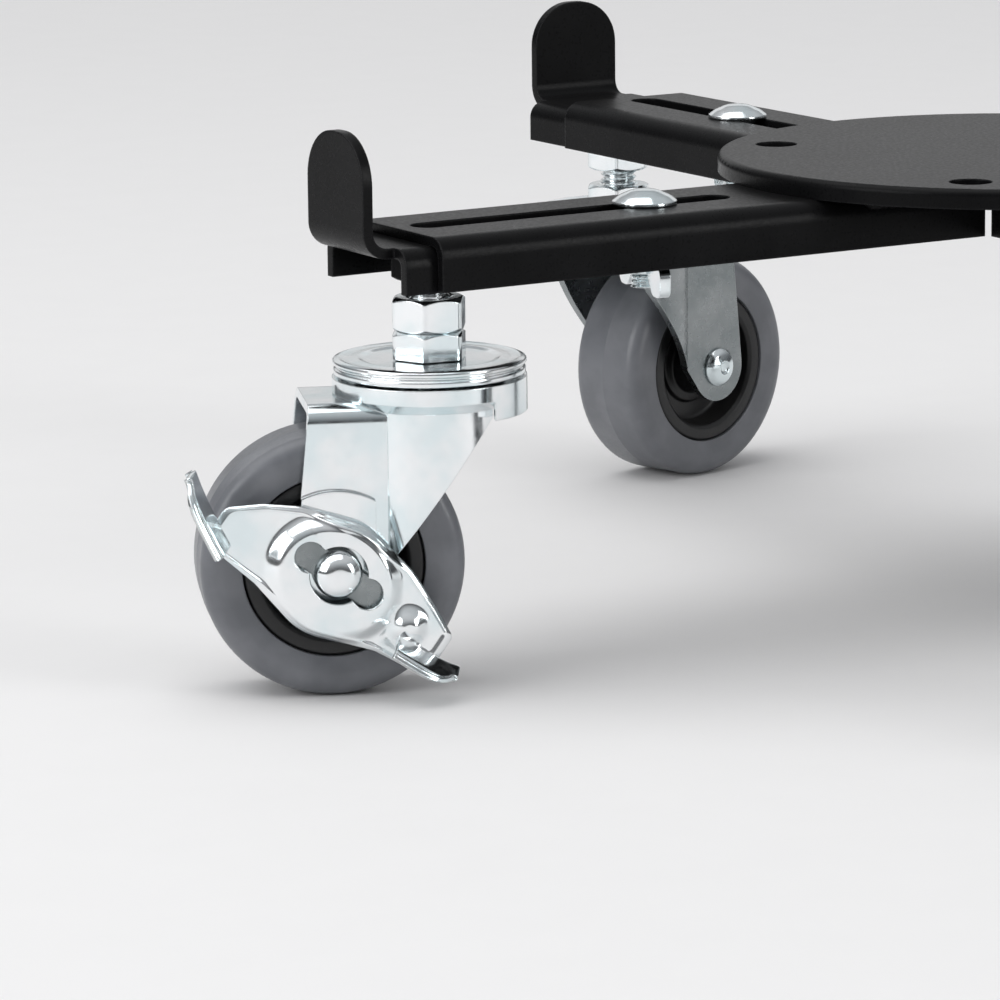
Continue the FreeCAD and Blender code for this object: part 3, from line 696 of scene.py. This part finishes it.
# %% Clamp bolts
bolt_low, bolt_high = (corner.z * 1000 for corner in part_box("clamp_bolt_a"))
seat = bolt_high - 3.0
neck_width, neck_height = 5.9, 3.4
head = turned([(0, bolt_high), (2.4, bolt_high - 0.25, 5.0), (4.9, bolt_high - 1.3, 4.0),
               (6.25, seat + 0.7, 0.4), (6.3, seat, 0.2), (0, seat)], steps=56)
neck = bmesh.new()
neck_place = Matrix.Translation((0, 0, seat - 1.6)) @ Matrix.Diagonal((neck_width, neck_width, neck_height, 1))
bmesh.ops.create_cube(neck, size=1.0, matrix=neck_place)
bolt_mesh = joined(head, neck, threaded_rod(2.95, 1.0, bolt_low, seat - 3.2, steps=24))
for arm in ARMS:
    heading = Matrix.Rotation(arm_frame[arm].to_euler().z, 4, "Z")
    add_piece("carriage_bolt_" + arm, bolt_mesh, bolt_frame[arm] @ heading, bright_zinc,
              "clamp_bolt_" + arm, bevel=0.15)
print("bolt from", round(bolt_low, 1), "to", round(bolt_high, 1), "mm")

# %% [markdown]
# ## Wing nuts
# A wing nut is cast, so nothing on it is sharp: two thin wings stand out from a hub with a threaded hole.
# The wings are one flat outline pulled thick and the hub is turned. A wide Bevel then rounds every edge, as
# casting and plating would. A subdivision surface would round them too, but it would thin the wings.

# %% Wing nuts
def plate_of(outline, thickness):
    """An upright slab: the outline in X and Z, thick along Y."""
    mesh = bmesh.new()
    back, front = ([mesh.verts.new((p.x, y, p.y)) for p in outline] for y in (-thickness / 2, thickness / 2))
    mesh.faces.new(back[::-1])
    mesh.faces.new(front)
    skin(mesh, [back, front])
    bmesh.ops.recalc_face_normals(mesh, faces=mesh.faces)
    return mesh


nut_low, nut_high = (corner.z * 1000 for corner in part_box("wing_nut_a"))
hub_low, hub_bore, wing_tip = nut_high - 8.0, 3.05, 11.7
wing = [(3.4, hub_low + 1.0, 1.0), (7.2, nut_low, 2.0), (wing_tip, nut_low, 1.8),
        (wing_tip, nut_low + 5.0, 2.2), (4.6, nut_high - 1.6, 1.0)]
both_wings = wing + [(-x, z, rounding) for x, z, rounding in reversed(wing)]
wing_hub = turned([(hub_bore, hub_low), (3.9, hub_low, 0.5), (5.0, nut_high - 2.0, 1.0),
                   (5.0, nut_high, 0.4), (hub_bore, nut_high)], steps=40, arc=3)
wing_mesh = joined(plate_of(soften(both_wings), 2.2), wing_hub)
WING_TURN = Matrix.Rotation(math.radians(77), 4, "Z")
for arm in ARMS:
    add_piece("wings_" + arm, wing_mesh, bolt_frame[arm] @ WING_TURN, bright_zinc, "wing_nut_" + arm, bevel=0.7)
print("wing nut height", round(nut_high - nut_low, 1), "mm")

# %% [markdown]
# ## Weld beads
# The plate is welded to the shoulders of the four channels. A hand-laid bead is a row of overlapping pools,
# so its outline swells and pinches every couple of millimetres. A tube whose radius follows that rhythm,
# half sunk in the corner that it fills, shows just the ripples.

# %% Weld beads
BEAD_RADIUS, POOLS = 1.55, 11


def weld_bead(start, length, across, height):
    mesh = bmesh.new()
    rows, steps = 80, 14
    grid = []
    for j in range(rows + 1):
        along = j / rows
        pool = (along * POOLS) % 1.0
        end = min(1.0, 4 * math.sqrt(max(0.0, along * (1 - along))) + 0.02)
        r = BEAD_RADIUS * end * (0.86 + 0.14 * math.sqrt(max(0.0, 1 - (2 * pool - 1) ** 2)))
        ring = []
        for k in range(steps):
            angle = 2 * math.pi * k / steps
            point = (start + length * along, across + r * math.cos(angle), height + r * math.sin(angle))
            ring.append(mesh.verts.new(point))
        grid.append(ring)
    skin(mesh, grid)
    bmesh.ops.recalc_face_normals(mesh, faces=mesh.faces)
    return mesh


bead_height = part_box("channel_a")[1].z * 1000 - 1.2
bead_start, bead_length, shoulder = 26, 20, 16.4
bead_mesh = joined(*(weld_bead(bead_start, bead_length, side, bead_height) for side in (shoulder, -shoulder)))
for arm in ARMS:
    add_piece("weld_" + arm, bead_mesh, arm_frame[arm], black_powder_coat, "weld_beads", replaced=arm == "a")
print("eight beads laid")

# %% [markdown]
# ## Brake levers
# The lever is pressed sheet: a brim with a thin bead, a raised oval with a two-lobed window, a round dimple
# that was pushed out in front of it, and at each end a foot pad. The pressing is one grid of rays from the
# axle to the brim. Its rays meet the brim at even steps, so that the rim is smooth all the way round.

# %% Lever brim
def spaced(outline, count):
    """Points at even steps along a closed outline."""
    sides = [(outline[i], outline[(i + 1) % len(outline)]) for i in range(len(outline))]
    total = sum((b - a).length for a, b in sides)
    points, walked, i = [], 0.0, 0
    for k in range(count):
        target = total * k / count
        while walked + (sides[i][1] - sides[i][0]).length < target:
            walked += (sides[i][1] - sides[i][0]).length
            i += 1
        a, b = sides[i]
        points.append(a.lerp(b, (target - walked) / (b - a).length))
    return points


brim = [(24.5, -8.6, 1.5), (24.5, -1.0, 2.5), (19.0, 3.3, 4.0), (13.0, 6.6, 8.0), (0.0, 10.6, 12.0),
        (-12.0, 7.8, 8.0), (-20.0, 4.2, 6.0), (-25.0, 1.6, 1.5), (-25.0, -3.6, 1.5), (-23.5, -4.6, 1.0),
        (-20.6, -8.0, 1.5), (-14.0, -8.6, 6.0), (0.0, -13.2, 12.0), (12.0, -10.0, 6.0)]
rays = spaced(soften(brim, 8), 260)
print("brim sampled at", len(rays), "points")

# %% [markdown]
# ## How high the sheet stands
# Two short functions take the place of the press tool. One says where the window's edge is in a given
# direction, the other how far the sheet stands out at a point. A smooth step between two heights is what a
# press leaves, because sheet can't fold at a line.

# %% Press tool
lever_face, lever_sheet, lever_raise = 13.8, 1.5, 2.2
WINDOW_ROUND, LOBE_OUT, LOBE_RADIUS = 5.4, 6.3, 2.9
OVAL_LONG, OVAL_SHORT, OVAL_DOWN = 12.2, 10.6, 1.3
DIMPLE_S, DIMPLE_T, DIMPLE_RADIUS, DIMPLE_HEIGHT = -16.8, -1.2, 3.9, 1.9
BEAD_IN, BEAD_WIDTH, BEAD_HEIGHT, EDGE_FALL = 1.3, 0.5, 0.35, 0.3


def window_reach(direction):
    """The window's edge: a circle about the axle with a lobe to each side."""
    reach = WINDOW_ROUND
    for side in (-LOBE_OUT, LOBE_OUT):
        along = side * direction.x
        off = side * side - along * along
        if along > 0 and off < LOBE_RADIUS ** 2:
            reach = max(reach, along + math.sqrt(LOBE_RADIUS ** 2 - off))
    return reach


def smooth_step(value):
    value = min(1.0, max(0.0, value))
    return value * value * (3 - 2 * value)


def pressed_height(s, t, to_edge):
    """How far the sheet's face stands out at a point of the lever, from the wheel's middle plane."""
    from_oval = (math.hypot(s / OVAL_LONG, (t + OVAL_DOWN) / OVAL_SHORT) - 1) * 11
    from_dimple = math.hypot(s - DIMPLE_S, t - DIMPLE_T) / DIMPLE_RADIUS
    height = lever_face + lever_sheet
    height += lever_raise * smooth_step(0.5 - from_oval / 3.6)
    height += DIMPLE_HEIGHT * smooth_step(1.15 - from_dimple)
    height += BEAD_HEIGHT * math.exp(-((to_edge - BEAD_IN) / BEAD_WIDTH) ** 2)
    return height - EDGE_FALL * max(0.0, 1 - to_edge / 0.5)


print("press tool ready")

# %% [markdown]
# ## The lever's sheet
# Each ray is cut into even steps from the window to the brim, and the press tool lifts every point. The
# first point on each ray is lowered a little, because a punch draws the sheet in round the hole it cuts.

# %% Lever mesh
STEPS_A_RAY, WINDOW_FALL = 56, 0.35
lever_mesh = bmesh.new()
rings = []
for point in rays:
    ray, edge = point.normalized(), point.length
    window = window_reach(ray)
    ring = []
    for i in range(STEPS_A_RAY + 1):
        r = window + (edge - window) * i / STEPS_A_RAY
        y = pressed_height(ray.x * r, ray.y * r, edge - r) - (WINDOW_FALL if i == 0 else 0)
        ring.append(lever_mesh.verts.new((ray.x * r, y, ray.y * r)))
    rings.append(ring)
skin(lever_mesh, rings, around=False, along=True)
face_towards(lever_mesh, 1)
print("lever pressing has", len(lever_mesh.faces), "faces")

# %% [markdown]
# ## Foot pads
# Each pad is the same sheet folded out from the lever and curled along its outer edge, with a round tip.
# It is a grid: one direction runs along the pad, the other goes over the fold, across and round the curl.
# Towards the tip the section shrinks along a curve, which rounds the pad's end.

# %% Foot pad tool
SECTION_POINTS, TIP_START, TIP_LENGTH, TIP_SMALLEST = 64, 0.4, 0.6, 0.5


def foot_pad(side, root_x, root_z, length, turn, slope=20.0, reach=8.2, rows=28):
    mesh = bmesh.new()
    drop = reach * math.tan(math.radians(slope))
    section = spaced(soften([(0.0, -1.6), (0.0, 0.0, 1.6), (reach, -drop, 2.0), (reach + 0.1, -drop - 1.1),
                             (reach - 0.2, -drop - 1.3)], 8), SECTION_POINTS)
    outermost = max(range(SECTION_POINTS), key=lambda i: section[i].x)
    section = section[:outermost + 3]
    lean = math.radians(turn)
    grid = []
    for j in range(rows + 1):
        along = j / rows
        into_tip = max(0.0, (along - TIP_START) / TIP_LENGTH)
        share = max(TIP_SMALLEST, (1 - into_tip ** 3.0) ** (1 / 2.2))
        rise = 0.7 * along * along
        row = []
        for p in section:
            out = max(0.25, p.x * (0.12 + 0.88 * share)) if p.x > 0.2 else p.x
            s, t = length * along, p.y * (0.35 + 0.65 * share) + rise
            x = side * (root_x + s * math.cos(lean) - t * math.sin(lean))
            z = root_z + s * math.sin(lean) + t * math.cos(lean)
            row.append(mesh.verts.new((x, lever_face + lever_sheet / 2 + out, z)))
        grid.append(row)
    skin(mesh, grid, around=False)
    face_towards(mesh, 2)
    return mesh


print("foot pad tool ready")

# %% [markdown]
# ## Fitting the levers
# The pressing and its two pads become one piece. A Solidify modifier gives it the sheet's thickness
# inwards, so that its outer face stays where the press tool put it, and a fine Bevel breaks the cut edges.
# The lever rests tilted about the axle, with one pad raised for the foot and the other one low.

# %% Levers
LEVER_TILT = Matrix.Rotation(math.radians(-35), 4, "Y")
high_pad = foot_pad(1, root_x=19.5, root_z=-5.6, length=15.4, turn=28.0)
low_pad = foot_pad(-1, root_x=16.0, root_z=-2.6, length=13.2, turn=0.0)
pressing = joined(lever_mesh, high_pad, low_pad)
for arm in BRAKED:
    lever = add_piece("brake_pedal_" + arm, pressing, caster_frame[arm] @ at_axle @ LEVER_TILT, bright_zinc,
                      "brake_lever_" + arm, sharp=62)
    thick = lever.modifiers.new("sheet thickness", "SOLIDIFY")
    thick.thickness, thick.offset, thick.use_even_offset = 0.0011, -1.0, False
    edges = lever.modifiers.new("rounded edges", "BEVEL")
    edges.width, edges.segments, edges.limit_method = 0.0003, 2, "ANGLE"
    edges.angle_limit = math.radians(50)
print("levers placed on", len(BRAKED), "casters")

# %% [markdown]
# ## Floor
# The caddy stands on a wide sheet of pale studio paper. It needs no shape, only a matt surface whose fibres
# shift its shade very slightly, so that the casters' soft shadows have something to fall on.

# %% Floor
FLOOR_HALF = 6.0
floor_mesh = bmesh.new()
bmesh.ops.create_grid(floor_mesh, x_segments=8, y_segments=8, size=FLOOR_HALF)
floor_data = bpy.data.meshes.new("floor")
floor_mesh.to_mesh(floor_data)
floor = bpy.data.objects.new("floor", floor_data)
bpy.context.scene.collection.objects.link(floor)
paper = bpy.data.materials.new("pale paper")
paper.use_nodes = True
sheet = paper.node_tree
paper_shader = sheet.nodes["Principled BSDF"]
paper_shader.inputs["Specular IOR Level"].default_value = 0.2
paper_shader.inputs["Roughness"].default_value = 0.75
fibre = add_node(sheet, "ShaderNodeTexNoise", Scale=60.0, Detail=3.0)
place = sheet.nodes.new("ShaderNodeTexCoord")
fibre_colour = mix_colour(sheet, fibre.outputs[0], (0.845, 0.835, 0.83), (0.865, 0.855, 0.85))
join(sheet, (place.outputs["Object"], fibre.inputs["Vector"]), (fibre_colour, paper_shader.inputs["Base Color"]))
floor_data.materials.append(paper)
floor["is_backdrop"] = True
print("floor laid")

# %% [markdown]
# ## Light
# Bright zinc shows its surroundings, so the light is arranged as in a product studio: a large soft panel
# overhead, a window up on the left, a narrow strip on the right and a faint panel behind. The walls between
# them are dim, darker below than above, and draw the dark bands that make metal look like metal.

# %% Panels
def panel(name, place, aim, width, height, power, colour=(1, 1, 1)):
    light = bpy.data.lights.new(name, "AREA")
    light.shape, light.size, light.size_y = "RECTANGLE", width, height
    light.energy, light.color = power, colour
    lamp = bpy.data.objects.new(name, light)
    lamp.location = place
    lamp.rotation_euler = (Vector(aim) - Vector(place)).to_track_quat("-Z", "Y").to_euler()
    lamp.visible_camera = False
    bpy.context.scene.collection.objects.link(lamp)


ahead, right, up_high = Vector((0.5135, 0.8581, 0)), Vector((0.8581, -0.5135, 0)), Vector((0, 0, 1))
hub, caddy = (0, 0, 0), (0, 0, 0.05)
panel("overhead panel", -right * 0.5 - ahead * 0.1 + up_high * 1.7, hub, width=1.9, height=1.9, power=17.0)
panel("left window", -right * 1.6 - ahead * 1.0 + up_high * 0.8, caddy, width=1.2, height=1.0, power=13.0,
      colour=(0.98, 0.99, 1.0))
panel("right strip", right * 1.5 - ahead * 0.9 + up_high * 0.6, caddy, width=0.6, height=1.0, power=10.0)
panel("back panel", ahead * 1.8 + up_high * 0.6, caddy, width=2.4, height=0.8, power=3.2)
print("four panels hung")

# %% [markdown]
# ## Studio walls
# The world stands in for the room. Its colour climbs from nearly black at the floor to a mid grey overhead,
# which gives curved metal a slow gradient between the panels' reflections.

# %% Walls
WALLS_LOW, WALLS_HIGH = (0.06, 0.061, 0.064), (0.50, 0.51, 0.525)
world = bpy.data.worlds.new("studio walls")
bpy.context.scene.world = world
world.use_nodes = True
walls = world.node_tree
where = walls.nodes.new("ShaderNodeTexCoord")
split = walls.nodes.new("ShaderNodeSeparateXYZ")
climb = ramp(walls, split.outputs["Z"], 0.05, 0.75, 0.0, 1.0)
join(walls, (where.outputs["Generated"], split.inputs[0]),
     (mix_colour(walls, climb, WALLS_LOW, WALLS_HIGH), walls.nodes["Background"].inputs["Color"]))
walls.nodes["Background"].inputs["Strength"].default_value = 1.0
bpy.context.scene.view_settings.view_transform = "Standard"
print("dim walls, no film curve")

# %% [markdown]
# ## Camera
# A long lens from a low height shows the near caster large without stretching it. The camera is placed by
# its heading, its dip below the horizon and a slight roll, which together make its three axes.

# %% Camera
camera_data = bpy.data.cameras.new("portrait")
camera_data.lens, camera_data.sensor_width, camera_data.clip_end = 192.5, 36, 20
camera = bpy.data.objects.new("portrait", camera_data)
bpy.context.scene.collection.objects.link(camera)
dip, roll = math.radians(11.4), math.radians(-0.6)
forward = Vector((ahead.x * math.cos(dip), ahead.y * math.cos(dip), -math.sin(dip))).normalized()
up = right.cross(forward)
side_axis = right * math.cos(roll) + up * math.sin(roll)
up_axis = up * math.cos(roll) - right * math.sin(roll)
axes = Matrix((side_axis, up_axis, -forward)).transposed().to_4x4()
camera.matrix_world = Matrix.Translation((-0.6288, -0.8529, 0.2338)) @ axes
bpy.context.scene.camera = camera
print("camera at", [round(c, 3) for c in camera.matrix_world.translation])

# %% [markdown]
# ## Last check
# A visual piece that grew past the CAD part would no longer fit where the part fits. So the box of all the
# pieces is compared with the CAD's box, and how far it grows past it is printed.

visual_box = [list(corner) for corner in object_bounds()]
grown = [max(cad_box[0][i] - visual_box[0][i], visual_box[1][i] - cad_box[1][i]) for i in range(3)]
print("grown beyond the CAD box by (mm):", [round(1000 * g, 2) for g in grown])
